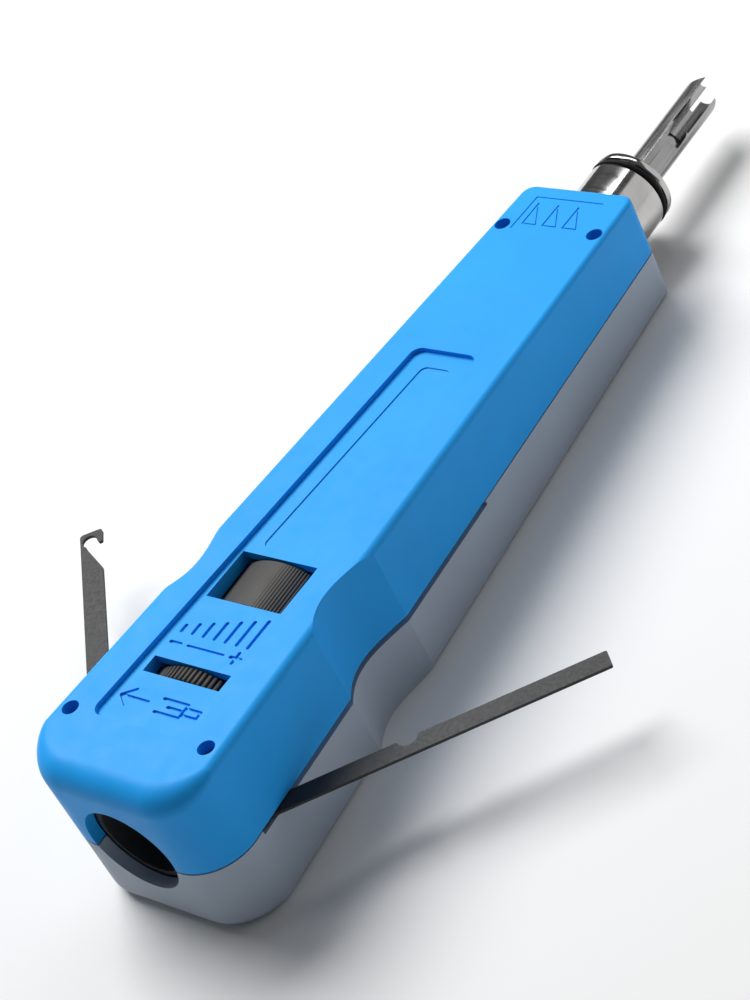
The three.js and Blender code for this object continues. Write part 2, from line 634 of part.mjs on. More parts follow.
const latchSpring = place('latch_spring', LOOKS.spring,
  coil({ x0: 0, x1: 1.6, mean: 1.5, wire: 0.2, coils: 2.5 }, 8));
latchSpring.rotation.y = -Math.PI / 2;
latchSpring.position.set((LATCH.x0 + LATCH.x1) / 2, 0, AXIS_Z - 6.8);
const returnSpring = place('return_spring', LOOKS.spring, coil(RETURN_SPRING, 9));
returnSpring.position.z = AXIS_Z;
place('front_bushing', LOOKS.brass, ring(BUSHING.inner, BUSHING.outer, BUSHING.x0, BUSHING.x1, 40));
place('blade_holder', LOOKS.chrome, bladeHolder());
const oring = new THREE.TorusGeometry(ORING.mean, ORING.wire, 8, 28);
oring.rotateY(Math.PI / 2).translate(ORING.x, 0, AXIS_Z);
place('holder_oring', LOOKS.rubber, solidFrom(oring));
place('retaining_ring', LOOKS.chrome,
  ring(RETAINER.inner, RETAINER.outer, RETAINER.x0, RETAINER.x1, 40));
place('punch_blade', LOOKS.steel, punchBlade());
const ball = new THREE.SphereGeometry(DETENT.ball, 12, 8);
ball.translate(DETENT.x, 0, AXIS_Z + BLADE.radius - 0.45 + DETENT.ball + 0.1);
place('blade_detent_ball', LOOKS.steel, solidFrom(ball));
const detentSpring = place('blade_detent_spring', LOOKS.spring,
  coil({ x0: 0, x1: 1.3, mean: 0.8, wire: 0.15, coils: 2.5 }, 8));
detentSpring.rotation.y = -Math.PI / 2;
detentSpring.position.set(DETENT.x, 0, AXIS_Z + BLADE.radius - 0.45 + 2 * DETENT.ball + 0.2);

export default part;
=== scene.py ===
import json
import math

import bmesh
import bpy
from mathutils import Matrix, Vector


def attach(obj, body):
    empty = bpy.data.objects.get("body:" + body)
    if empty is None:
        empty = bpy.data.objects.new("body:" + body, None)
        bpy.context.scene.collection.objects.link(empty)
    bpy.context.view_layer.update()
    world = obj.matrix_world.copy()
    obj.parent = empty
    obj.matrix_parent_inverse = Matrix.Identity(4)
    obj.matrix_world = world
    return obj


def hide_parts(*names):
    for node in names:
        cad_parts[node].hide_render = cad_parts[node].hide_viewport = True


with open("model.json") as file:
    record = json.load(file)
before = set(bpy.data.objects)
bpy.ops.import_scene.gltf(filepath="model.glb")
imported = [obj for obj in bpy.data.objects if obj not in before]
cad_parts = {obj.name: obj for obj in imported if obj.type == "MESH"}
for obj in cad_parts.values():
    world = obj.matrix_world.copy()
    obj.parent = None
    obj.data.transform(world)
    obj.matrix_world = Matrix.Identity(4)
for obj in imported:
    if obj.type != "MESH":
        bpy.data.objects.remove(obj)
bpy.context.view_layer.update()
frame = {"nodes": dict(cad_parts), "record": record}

# Looks of an impact punch down tool. Shapes are drawn in the tool frame, in millimetres: +X along
# the blade axis from the rear face, +Z out of the blue cover, z = 0 where the two covers meet.
JOINTS = {joint["name"]: joint for joint in frame["record"]["behaviour"]["joints"]}
MM = 0.001

# ------------------------------------------------------------------ driving dimensions, as in the CAD
HANDLE_LENGTH = 146.2
REAR_HALF_WIDTH = 18.3
FRONT_HALF_WIDTH = 11.95
# Two cubic curves, end to end: the finger scoop's plan from its rear edge to its front edge.
SCOOP = [(37.5, 17.44), (40, 15.6), (42.6, 14.05), (46.2, 14.05),
         (49.4, 14.05), (52.6, 15.1), (57.3, 16.38)]
REAR_CORNER = 9.2
FRONT_CORNER = 2.6
TOP_HEIGHT = (17.79, 12.13)
BOTTOM_HEIGHT = (14.62, 9.71)
EDGE_FILLET = 0.9
REAR_FILLET = 4.6
GREY_REAR_FILLET = 3.0
WALL = 2.2
ROOF = 2.5
POST_RADIUS = 3.1
PARTING_GAP = 0.15
AXIS_Z = 1.9
SCREW_REAR = (12.65, 14.8)
SCREW_FRONT = (134.9, 10.07)
SCREW_HOLE = 1.5
COUNTERBORE = 1.95
COUNTERBORE_DEPTH = 2.6
SCREW = {"head": 1.7, "shank": 1.15, "outer_face": 1.7, "inner_face": 0.3, "end": 2.0,
         "cross": 0.25, "cross_floor": 1.0}
PANEL = {"x0": 12.8, "x1": 101.7, "rear": 10.5, "front": 6.9, "depth": 0.9, "corner": 2.0}
RECESS = {"x0": 52.9, "x1": 98.2, "rear": 5.4, "front": 3.2, "corner": 1.3, "depth": 0.22}
IMPACT_WINDOW = (40.6, 51.1, 8.1)    # start, end, half width
WHEEL_WINDOW = (23.5, 26.9, 8.3)
WINDOW_FLOOR = 8.0
GUARD = {"thick": 1.7, "over": 1.2}   # walls beside the windows
SLOT = {"hook_x0": 7.6, "spudger_x0": 11.3, "x1": 82.7, "inner": 10.4, "floor": -0.95, "eye": 3.35}
STRIP_TOP = -0.1
STRIP_THICKNESS = 0.6
EYE_RADIUS = 3.0
EYE_BORE = 2.1
HOOK_ANGLE = 42.2
SPUDGER_ANGLE = -42.8
HOOK = {"inner": 0.4, "outer": 4.5, "end": 63.35}
SPUDGER = {"low": -0.9, "high": 2.7, "end": 60.6, "corner": 0.3, "nick": 27.0, "nick_radius": 1.9}
DRUM = {"x0": 40.9, "x1": 50.8, "radius": 11.6, "raised": 12.95, "from": -92, "to": 41,
        "hub": 9.4, "hub_x0": 38.0, "hub_x1": 52.4}
WHEEL = {"x0": 23.8, "x1": 26.6, "radius": 11.7, "raised": 13.8, "from": -85, "to": 45, "teeth": 88}
TUBE_CLEAR = 5.75
CAM_STARTS = (90, 270)
CAM = {"inner": 6.6, "outer": 9.0, "low": 0.3, "high": 3.3, "sweep": 50, "lead": 5, "steps": 36}
DIAL_RIBS = {"pitch": 2.5, "depth": 0.32, "from": -90, "to": 30, "slope": 3.6,
             "fade_start": -2, "fade_over": 26, "faintest": 0.1}
WHEEL_RIB = {"depth": 0.6, "gap": 0.12, "slope": 9}
DRUM_EDGE = 0.25
WHEEL_EDGE = 0.2
REAR_HOLE = 8.86
FRONT_BORE = 8.4
BUSHING = (138.2, 9.45)
TUBE = {"x0": 2.2, "flange": 8.45, "mouth": 7.4, "cup_end": 10.5, "outer": 5.4, "bore": 4.1,
        "bore_end": 52.0, "x1": 53.6}
HOLDER = {"x1": 159.2, "shoulder": 156.2, "front": 6.5, "outer": 7.8, "tail": 2.2, "tail_x0": 109.9,
          "neck": 3.4, "body_x0": 128, "bore": 3.65, "bore_x0": 140.4}
ORING = {"mean": 7.4, "wire": 0.5, "x": 157.0}
NOSE_RING = {"x0": 157.8, "x1": 159.2, "inner": 6.8}
BLADE = {"x0": 141, "x1": 188.1, "radius": 3.35}
FAR = 30.0
CREASE = 12.5             # degrees; the covers stay crisp where their faces meet at more than this
CLEAR = 0.25              # free space round a piece, and outside one that turns
SPIN_CLEAR = 0.3
WELD = 0.002              # slivers shorter than this are welded

# ------------------------------------------------------------------ tool frame to row frame
PIVOT_IN_TOOL = Vector((SCREW_REAR[0], SCREW_REAR[1], STRIP_TOP - STRIP_THICKNESS / 2))


def tool_to_row():
    """The tool frame's place in the row frame, from the plunger's axis and the hook's pivot."""
    along = -Vector(JOINTS["plunger_slide"]["axis"]).normalized()
    up = Vector(JOINTS["hook_swing"]["axis"]).normalized()
    left = up.cross(along).normalized()
    turn = Matrix((along, left, up)).transposed()
    origin = Vector(JOINTS["hook_swing"]["pos_m"]) - turn @ (PIVOT_IN_TOOL * MM)
    return Matrix.Translation(origin) @ turn.to_4x4() @ Matrix.Scale(MM, 4)


TO_ROW = tool_to_row()


# ------------------------------------------------------------------ mesh helpers
def mesh_object(name, bm):
    """A new object with the bmesh's content, its faces pointing out."""
    bmesh.ops.recalc_face_normals(bm, faces=bm.faces)
    mesh = bpy.data.meshes.new(name)
    bm.to_mesh(mesh)
    bm.free()
    obj = bpy.data.objects.new(name, mesh)
    bpy.context.scene.collection.objects.link(obj)
    return obj


def skinned(rings, close_ends=True):
    """A closed body over rings of points; without end caps the last ring joins the first."""
    bm = bmesh.new()
    rows = [[bm.verts.new(point) for point in ring] for ring in rings]
    count = len(rows[0])
    pairs = list(zip(rows, rows[1:]))
    if not close_ends:
        pairs.append((rows[-1], rows[0]))
    for low, high in pairs:
        for i in range(count):
            j = (i + 1) % count
            bm.faces.new((low[i], low[j], high[j], high[i]))
    if close_ends:
        bm.faces.new(list(reversed(rows[0])))
        bm.faces.new(rows[-1])
    bmesh.ops.remove_doubles(bm, verts=bm.verts, dist=1e-5)
    return mesh_object("solid", bm)


def turned(profile, segments=96, closed=True):
    """A body turned about the blade axis. Each profile row is (radius, x); radius may be a function
    of the angle, in degrees from +Z towards +Y. Open profiles start and end on the axis."""
    rings = []
    for radius, x in profile:
        ring = []
        for i in range(segments):
            angle = 360.0 * i / segments
            r = radius(angle) if callable(radius) else radius
            turn = math.radians(angle)
            ring.append((x, r * math.sin(turn), AXIS_Z + r * math.cos(turn)))
        rings.append(ring)
    return skinned(rings, close_ends=not closed)


def rod(radius, x0, x1, segments=96):
    """A plain round bar on the blade axis."""
    return turned([(radius, x0), (radius, x1)], segments, closed=False)


def prism(outline, z0=-FAR, z1=FAR):
    """An upright prism over a plan outline."""
    return skinned([[(x, y, z0) for x, y in outline], [(x, y, z1) for x, y in outline]])


def post(x, y, radius, z0, z1, segments=48):
    """An upright round bar."""
    turns = [math.tau * i / segments for i in range(segments)]
    return prism([(x + radius * math.cos(turn), y + radius * math.sin(turn)) for turn in turns], z0, z1)


def block(x0, x1, y0, y1, z0, z1):
    """A box between two corners."""
    return prism([(x0, y0), (x1, y0), (x1, y1), (x0, y1)], z0, z1)


def combine(target, others, operation):
    """Joins or cuts the target with other objects, which are used up."""
    group = bpy.data.collections.new("operands")
    bpy.context.scene.collection.children.link(group)
    for other in others:
        group.objects.link(other)
    modifier = target.modifiers.new("combine", "BOOLEAN")
    modifier.operation = operation
    modifier.operand_type = "COLLECTION"
    modifier.collection = group
    modifier.solver = "EXACT"
    graph = bpy.context.evaluated_depsgraph_get()
    mesh = bpy.data.meshes.new_from_object(target.evaluated_get(graph))
    target.modifiers.clear()
    old = target.data
    target.data = mesh
    bpy.data.meshes.remove(old)
    for other in others:
        bpy.data.objects.remove(other)
    bpy.data.collections.remove(group)
    return target


def cut(target, *others):
    return combine(target, others, "DIFFERENCE")


def join(target, *others):
    return combine(target, others, "UNION")


def tidy_mesh(obj, weld):
    """Welds slivers that the cuts leave, and dissolves edges between level faces."""
    bm = bmesh.new()
    bm.from_mesh(obj.data)
    bmesh.ops.remove_doubles(bm, verts=bm.verts, dist=weld)
    bmesh.ops.dissolve_degenerate(bm, edges=bm.edges, dist=weld)
    bmesh.ops.dissolve_limit(bm, angle_limit=math.radians(0.4), verts=bm.verts, edges=bm.edges)
    bmesh.ops.recalc_face_normals(bm, faces=bm.faces)
    bm.to_mesh(obj.data)
    bm.free()


def finish_piece(obj, name, node, body, material, edge, smooth=32.0, segments=2):
    """Puts a piece in the row frame with rounded edges, and ties it to the frame. Edges that turn
    by less than `smooth` degrees are left as they are."""
    tidy_mesh(obj, WELD)
    obj.name = name
    obj.data.name = name
    obj.data.transform(TO_ROW)
    obj.data.materials.clear()
    obj.data.materials.append(material)
    for face in obj.data.polygons:
        face.use_smooth = True
        face.material_index = 0
    if edge:
        bevel = obj.modifiers.new("edges", "BEVEL")
        bevel.width = edge * MM
        bevel.segments = segments
        bevel.limit_method = "ANGLE"
        bevel.angle_limit = math.radians(smooth)
        bevel.use_clamp_overlap = True
        bevel.miter_outer = "MITER_ARC"
    weighted = obj.modifiers.new("normals", "WEIGHTED_NORMAL")
    weighted.weight = 80
    weighted.keep_sharp = False
    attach(obj, body)
    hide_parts(node)


# ------------------------------------------------------------------ materials
NOISE_SPREAD = (0.3, 0.7)


def principled(name, color, roughness, metallic=0.0, **extra):
    """A material and its shader, with the plain values set on the shader itself."""
    material = bpy.data.materials.new(name)
    material.use_nodes = True
    nodes = material.node_tree.nodes
    shader = nodes["Principled BSDF"]
    shader.inputs["Base Color"].default_value = (*color, 1.0)
    shader.inputs["Roughness"].default_value = roughness
    shader.inputs["Metallic"].default_value = metallic
    for socket, value in extra.items():
        shader.inputs[socket.replace("_", " ")].default_value = value
    return material, shader


def noise(material, scale, detail=4.0, stretch=(1.0, 1.0, 1.0)):
    """Noise in the piece's own metres; stretch thins or lengthens its grain."""
    tree = material.node_tree
    place = tree.nodes.new("ShaderNodeTexCoord")
    mapping = tree.nodes.new("ShaderNodeMapping")
    mapping.inputs["Scale"].default_value = stretch
    texture = tree.nodes.new("ShaderNodeTexNoise")
    texture.inputs["Scale"].default_value = scale
    texture.inputs["Detail"].default_value = detail
    tree.links.new(place.outputs["Object"], mapping.inputs["Vector"])
    tree.links.new(mapping.outputs["Vector"], texture.inputs["Vector"])
    return texture.outputs["Fac"]


def ramp(material, source, low, high):
    """Maps noise to a range of colours or grey values, over the middle of its spread."""
    tree = material.node_tree
    node = tree.nodes.new("ShaderNodeValToRGB")
    for element, position, color in zip(node.color_ramp.elements, NOISE_SPREAD, (low, high)):
        element.position = position
        element.color = (*color, 1.0)
    tree.links.new(source, node.inputs["Fac"])
    return node.outputs["Color"]


def grey(value):
    return (value, value, value)


def shade(color, factor):
    return tuple(min(1.0, channel * factor) for channel in color)


def add_bump(material, shader, layers):
    """Chains bump nodes; each layer is (height source, strength, distance in metres)."""
    tree = material.node_tree
    previous = None
    for source, strength, distance in layers:
        bump = tree.nodes.new("ShaderNodeBump")
        bump.inputs["Strength"].default_value = strength
        bump.inputs["Distance"].default_value = distance
        tree.links.new(source, bump.inputs["Height"])
        if previous:
            tree.links.new(previous.outputs["Normal"], bump.inputs["Normal"])
        previous = bump
    tree.links.new(previous.outputs["Normal"], shader.inputs["Normal"])


def moulded_plastic(name, color, roughness):
    """Moulded plastic: faint mottling, uneven gloss and a fine spark-eroded grain."""
    grain = 0.00002
    material, shader = principled(name, color, roughness, Specular_IOR_Level=0.15)
    tree = material.node_tree
    broad = noise(material, 45.0, 5.0)
    fine = noise(material, 5200.0, 2.0)
    tree.links.new(ramp(material, broad, shade(color, 0.95), shade(color, 1.05)),
                   shader.inputs["Base Color"])
    tree.links.new(ramp(material, noise(material, 260.0, 6.0), grey(roughness - 0.05),
                        grey(roughness + 0.06)), shader.inputs["Roughness"])
    add_bump(material, shader, [(fine, 0.35, grain), (noise(material, 700.0, 3.0), 0.15, grain)])
    return material


def metal(name, color, roughness, stretch, scale=900.0, depth=0.000006, spread=0.06, metallic=1.0):
    """Machined or ground metal: fine lines along one direction and uneven gloss."""
    material, shader = principled(name, color, roughness, metallic)
    tree = material.node_tree
    lines = noise(material, scale, 6.0, stretch)
    smudge = noise(material, 180.0)
    tree.links.new(ramp(material, smudge, shade(color, 0.9), shade(color, 1.08)),
                   shader.inputs["Base Color"])
    tree.links.new(ramp(material, lines, grey(max(0.03, roughness - spread)), grey(roughness + spread)),
                   shader.inputs["Roughness"])
    add_bump(material, shader, [(lines, 0.5, depth)])
    return material


ALONG = (0.04, 1.0, 1.0)     # grain lines that run along the tool
AROUND = (1.0, 0.05, 0.05)   # turning marks round the blade axis
EVEN = (1.0, 1.0, 1.0)
BLUE = moulded_plastic("blue_plastic", (0.018, 0.38, 0.95), 0.46)
GREY = moulded_plastic("grey_plastic", (0.4, 0.47, 0.56), 0.5)
DIAL = moulded_plastic("dial_plastic", (0.078, 0.075, 0.072), 0.5)
BLACK = moulded_plastic("black_plastic", (0.04, 0.041, 0.044), 0.45)
CHROME = metal("chrome", (0.52, 0.51, 0.5), 0.12, AROUND, 1400.0, 0.000002, 0.04)
BLADE_STEEL = metal("blade_steel", (0.36, 0.36, 0.36), 0.24, ALONG, 2200.0)
DARK_STEEL = metal("dark_steel", (0.018, 0.018, 0.018), 0.6, EVEN, 1800.0, metallic=0.1)
TURNED_STEEL = metal("machined_steel", (0.4, 0.4, 0.41), 0.3, AROUND, 2600.0)
SPRING_STEEL = metal("spring_steel", (0.45, 0.45, 0.44), 0.3, EVEN, 2600.0)
BRONZE = metal("bronze", (0.5, 0.36, 0.16), 0.42, AROUND, 1500.0)
BLACK_OXIDE = moulded_plastic("black_oxide", (0.015, 0.015, 0.016), 0.6)
RUBBER = moulded_plastic("rubber", (0.012, 0.012, 0.012), 0.62)


# ------------------------------------------------------------------ handle shape
FILLET_REACH = 1.4        # rear corners over which the rear fillet fades into the sides' fillet


def along_handle(pair, x):
    return pair[0] + (pair[1] - pair[0]) * x / HANDLE_LENGTH


def top_at(x):
    return along_handle(TOP_HEIGHT, x)


def bottom_at(x):
    return -along_handle(BOTTOM_HEIGHT, x)


def arc(cx, cy, radius, start, end, steps):
    """Points on an arc, angles in degrees."""
    return [(cx + radius * math.cos(math.radians(start + (end - start) * i / steps)),
             cy + radius * math.sin(math.radians(start + (end - start) * i / steps)))
            for i in range(steps + 1)]


def bezier(corners, steps):
    """Points on a cubic Bezier curve."""
    a, b, c, d = (Vector(corner) for corner in corners)
    return [tuple(a * (1 - t) ** 3 + b * 3 * t * (1 - t) ** 2 + c * 3 * t * t * (1 - t) + d * t ** 3)
            for t in (i / steps for i in range(steps + 1))]


def plain_outline():
    """Plan outline of the handle without its finger scoops, anticlockwise seen from above."""
    left = arc(REAR_CORNER, REAR_HALF_WIDTH - REAR_CORNER, REAR_CORNER, 180, 90, 20)
    left += arc(HANDLE_LENGTH - FRONT_CORNER, FRONT_HALF_WIDTH - FRONT_CORNER, FRONT_CORNER, 90, 0, 10)
    right = [(x, -y) for x, y in reversed(left)]
    return list(reversed(left + right))


def scoops(wall=0.0):
    """What the two finger scoops take away, `wall` further in than their surface."""
    curve = bezier(SCOOP[:4], 20) + bezier(SCOOP[3:], 20)[1:]
    return [prism([(SCOOP[0][0], side * FAR)] + [(x, side * (y - wall)) for x, y in curve]
                  + [(SCOOP[6][0], side * FAR)]) for side in (1, -1)]


def inset(outline, distance):
    """The outline moved inwards; distance is a function of the point."""
    moved = []
    for i, point in enumerate(outline):
        here = Vector(point)
        first = (here - Vector(outline[i - 1])).normalized()
        second = (Vector(outline[(i + 1) % len(outline)]) - here).normalized()
        inward = Vector((-first.y - second.y, first.x + second.x)).normalized()
        stretch = max(0.7, inward.dot(Vector((-second.y, second.x))))
        moved.append(tuple(here + inward * distance(point) / stretch))
    return moved


def outer_half(height_at, sign, rear_fillet):
    """One cover's outside, with a fillet that grows round the rear end."""
    outline = plain_outline()
    steps = 10

    def fillet_at(point):
        share = min(1.0, max(0.0, 1 - point[0] / (FILLET_REACH * REAR_CORNER)))
        return EDGE_FILLET + (rear_fillet - EDGE_FILLET) * share * share * (3 - 2 * share)

    rings = [[(x, y, sign * PARTING_GAP) for x, y in outline]]
    for k in range(steps + 1):
        angle = math.pi / 2 * k / steps
        moved = inset(outline, lambda point: fillet_at(point) * (1 - math.cos(angle)))
        rings.append([
            (x, y, height_at(x) - sign * fillet_at(base) * (1 - math.sin(angle)))
            for (x, y), base in zip(moved, outline)
        ])
    return cut(skinned(rings), *scoops())


def inner_half(height_at, sign):
    """A plain volume inside one cover."""
    moved = inset(plain_outline(), lambda point: WALL)
    hollow = skinned([[(x, y, -sign) for x, y in moved],
                      [(x, y, height_at(x) - sign * ROOF) for x, y in moved]])
    return cut(hollow, *scoops(WALL))


# Ribs across the handle: start, end, and the radius of the bore through them.
RIBS = ((18, 20, TUBE_CLEAR), (32, 34, TUBE_CLEAR), (60.6, 62.4, 9.35), (78, 80, 8.55), (95, 97, 8.55),
        (120, 122, FRONT_BORE), (136, 138, FRONT_BORE))
SCREW_PLACES = [(x, side * y) for x, y in (SCREW_REAR, SCREW_FRONT) for side in (1, -1)]


def cover(height_at, sign, rear_fillet):
    """A hollow cover with its ribs, screw posts and the mechanism's bores."""
    over, thick = GUARD["over"], GUARD["thick"]
    hollow = inner_half(height_at, sign)
    cut(hollow, *[block(x0, x1, -FAR, FAR, -FAR, FAR) for x0, x1, bore in RIBS],
        *[post(x, y, POST_RADIUS, -FAR, FAR) for x, y in SCREW_PLACES],
        *[block(x0 - over, x1 + over, y, y + thick, WINDOW_FLOOR, FAR)
          for x0, x1, half in (IMPACT_WINDOW, WHEEL_WINDOW) for y in (half, -half - thick)])
    shell = cut(outer_half(height_at, sign, rear_fillet), hollow)
    bores = [rod(bore, x0 - 0.5, x1 + 0.5) for x0, x1, bore in RIBS if bore != FRONT_BORE]
    bores += [
        rod(REAR_HOLE, -1, 11, 128),
        rod(DRUM["raised"] + SPIN_CLEAR, DRUM["x0"] - CLEAR, DRUM["x1"] + CLEAR),
        rod(WHEEL["raised"] + SPIN_CLEAR, WHEEL["x0"] - CLEAR, WHEEL["x1"] + CLEAR),
        rod(FRONT_BORE, 119, HANDLE_LENGTH + 1),
        rod(BUSHING[1] + CLEAR, BUSHING[0] - SPIN_CLEAR, HANDLE_LENGTH + 1),
    ]
    bores += [post(x, y, SCREW_HOLE, -FAR, FAR) for x, y in SCREW_PLACES]
    return cut(shell, *bores)


def tapered_outline(spec):
    """A rounded outline that narrows towards the front."""
    corner, x0, x1, rear, front = (spec[key] for key in ("corner", "x0", "x1", "rear", "front"))
    lean = math.degrees(math.atan2(rear - front, x1 - x0))
    right = arc(x0 + corner, -rear + corner, corner, -180, -90 + lean, 8)
    right += arc(x1 - corner, -front + corner, corner, -90 + lean, 0, 8)
    left = [(x, -y) for x, y in reversed(right)]
    return right + left


def sunk(outline, surface_at, depth, over=3.0):
    """A cutter with the given plan outline that goes `depth` under a sloping surface."""
    return skinned([[(x, y, surface_at(x) - depth) for x, y in outline],
                    [(x, y, surface_at(x) + over) for x, y in outline]])


def panel_at(x):
    return top_at(x) - PANEL["depth"]


def stroke(start, end, width=0.65):
    """Plan outline of a round-ended stroke."""
    first, last = Vector(start), Vector(end)
    heading = math.degrees(math.atan2(last.y - first.y, last.x - first.x))
    radius = width / 2
    return (arc(last.x, last.y, radius, heading - 90, heading + 90, 6)
            + arc(first.x, first.y, radius, heading + 90, heading + 270, 6))


def impact_marks():
    """Rising bars with a minus and a plus sign, from the low end on the left to the high end."""
    marks = []
    count = 7
    for i in range(count):
        y = 7.2 - 14.4 * i / (count - 1)
        length = 1.2 + 4.6 * i / (count - 1)
        marks.append(stroke((32.8, y), (32.8 + length, y), 0.75))
    marks.append(stroke((30.3, 7.6), (30.3, 5.4)))
    marks.append(stroke((30.3, -5.4), (30.3, -7.6)))
    marks.append(stroke((29.2, -6.5), (31.4, -6.5)))
    marks.append(stroke((30.3, 3.9), (30.3, -3.9), 0.45))
    return marks


def release_marks():
    """An arrow to the left and a small fork outline."""
    arrow = [((18.2, 8.6), (18.2, 2.6)), ((18.2, 8.6), (19.9, 6.4)), ((18.2, 8.6), (16.5, 6.4))]
    fork = [((19.6, 0.2), (19.6, -5.0)), ((16.8, 0.2), (16.8, -5.0)), ((19.6, -5.0), (16.8, -5.0)),
            ((18.2, -1.6), (18.2, -4.4)), ((18.9, -5.2), (18.9, -8.2)), ((17.5, -5.2), (17.5, -8.2)),
            ((18.9, -8.2), (17.5, -8.2))]
    return [stroke(start, end, 0.58) for start, end in arrow + fork]


def nose_marks():
    """A thin frame line round a row of wedges."""
    lines = [((134.2, 7.7), (142.9, 7.5)), ((142.9, 7.5), (142.9, -6.9))]
    marks = [stroke(start, end, 0.3) for start, end in lines]
    for i in range(3):
        y = 4.6 - 4.4 * i
        corners = [((135.6, y + 1.5), (141.2, y + 1.5)), ((141.2, y + 1.5), (135.6, y - 1.5)),
                   ((135.6, y - 1.5), (135.6, y + 1.5))]
        marks += [stroke(start, end, 0.34) for start, end in corners]
    return marks


PANEL_MARK_DEPTH = 0.38
NOSE_MARK_DEPTH = 0.17
MARK_STEP = 0.004
COVER_EDGE = 0.14


def blue_cover():
    shell = cover(top_at, 1, REAR_FILLET)
    windows = [block(x0, x1, -half, half, WINDOW_FLOOR, FAR)
               for x0, x1, half in (IMPACT_WINDOW, WHEEL_WINDOW)]
    cut(shell, sunk(tapered_outline(PANEL), top_at, PANEL["depth"]), *windows)
    cut(shell, sunk(tapered_outline(RECESS), panel_at, RECESS["depth"], 5.0))
    # Marks that cross are cut to slightly different depths, so that no two floors share a plane.
    for surface_at, depth, marks in ((panel_at, PANEL_MARK_DEPTH, impact_marks() + release_marks()),
                                     (top_at, NOSE_MARK_DEPTH, nose_marks())):
        for i, mark in enumerate(marks):
            cut(shell, sunk(mark, surface_at, depth + MARK_STEP * i))
    finish_piece(shell, "blue_cover", "top_cover", "handle", BLUE, COVER_EDGE, CREASE)


def grey_cover():
    shell = cover(bottom_at, -1, GREY_REAR_FILLET)
    cutters = [post(x, y, COUNTERBORE, -FAR, bottom_at(x) + COUNTERBORE_DEPTH) for x, y in SCREW_PLACES]
    for side in (1, -1):
        y0, y1 = sorted((side * SLOT["inner"], side * FAR))
        x0 = SLOT["hook_x0"] if side > 0 else SLOT["spudger_x0"]
        cutters.append(block(x0, SLOT["x1"], y0, y1, SLOT["floor"], 5))
        cutters.append(post(SCREW_REAR[0], side * SCREW_REAR[1], SLOT["eye"], SLOT["floor"], 5))
    cut(shell, *cutters)
    finish_piece(shell, "grey_cover", "bottom_cover", "handle", GREY, COVER_EDGE, CREASE)


# ------------------------------------------------------------------ steel strips
def flat_strip(outline, place, angle, name, node, body):
    """A steel strip of the given outline with a pivot eye, swung to its angle."""
    low = STRIP_TOP - STRIP_THICKNESS
    plate = skinned([[(x, y, low) for x, y in outline], [(x, y, STRIP_TOP) for x, y in outline]])
    join(plate, post(0, 0, EYE_RADIUS, low, STRIP_TOP, 64))
    cut(plate, post(0, 0, EYE_BORE, -5, 5))
    swing = Matrix.Translation((*place, 0)) @ Matrix.Rotation(math.radians(angle), 4, "Z")
    plate.data.transform(swing)
    finish_piece(plate, name, node, body, DARK_STEEL, 0.1)


def wire_hook():
    inner, outer, end = HOOK["inner"], HOOK["outer"], HOOK["end"]
    outline = [(0.5, inner), (52.6, inner), (59.4, 3.4)]
    outline += arc(60.95, 2.65, 1.42, 147, -60, 20)
    outline += [(60.5, 1.16)]
    outline += arc(60.3, 0.6, 0.45, 120, 240, 6)
    outline += [(62.6, 0.1)]
    outline += arc(end - 0.6, 0.75, 0.6, -80, 0, 5)
    outline += arc(end - 0.7, outer - 0.7, 0.7, 0, 90, 6)
    outline += [(3.4, outer), (0.5, 3)]
    flat_strip(outline, SCREW_REAR, HOOK_ANGLE, "hook_strip", "wire_hook", "hook")


def spudger():
    low, high, end, corner = (SPUDGER[key] for key in ("low", "high", "end", "corner"))
    outline = [(0, low)]
    outline += arc(end - corner, low + corner, corner, -90, 0, 4)
    outline += arc(end - corner, high - corner, corner, 0, 90, 4)
    outline += arc(SPUDGER["nick"], high + 0.4, SPUDGER["nick_radius"], -11.5, -168.5, 16)
    outline += [(0, high)]
    flat_strip(outline, (SCREW_REAR[0], -SCREW_REAR[1]), SPUDGER_ANGLE, "spudger_strip",
               "spudger", "spudger")


# ------------------------------------------------------------------ dial, wheel and tube
SECTOR_SLOPE = 1.5        # degrees


def signed(angle):
    """The angle between -180 and 180 degrees."""
    return (angle + 180) % 360 - 180


def raised_share(spec, angle):
    """1 on the raised sector of the dial or wheel, 0 off it, with a short slope between."""
    turn = signed(angle)
    return max(0.0, min(1.0, (turn - spec["from"]) / SECTOR_SLOPE, (spec["to"] - turn) / SECTOR_SLOPE))


def cam_ramp(start):
    """A ramp on the dial's front face that the spring seat's lug rides; angles from +Y towards +Z."""
    inner, outer, low, high, sweep, lead, steps = CAM.values()
    base = DRUM["hub_x1"]
    rings = []
    for i in range(steps):
        offset = i * (sweep + 4 * lead) / (steps - 1)
        x = base + high - (high - low) * min(1.0, max(0.0, (offset - lead) / sweep))
        turn = math.radians(start - 2 * lead + offset)
        rings.append([(px, r * math.cos(turn), AXIS_Z + r * math.sin(turn))
                      for px, r in ((base - 0.4, inner), (base - 0.4, outer), (x, outer), (x, inner))])
    return skinned(rings)


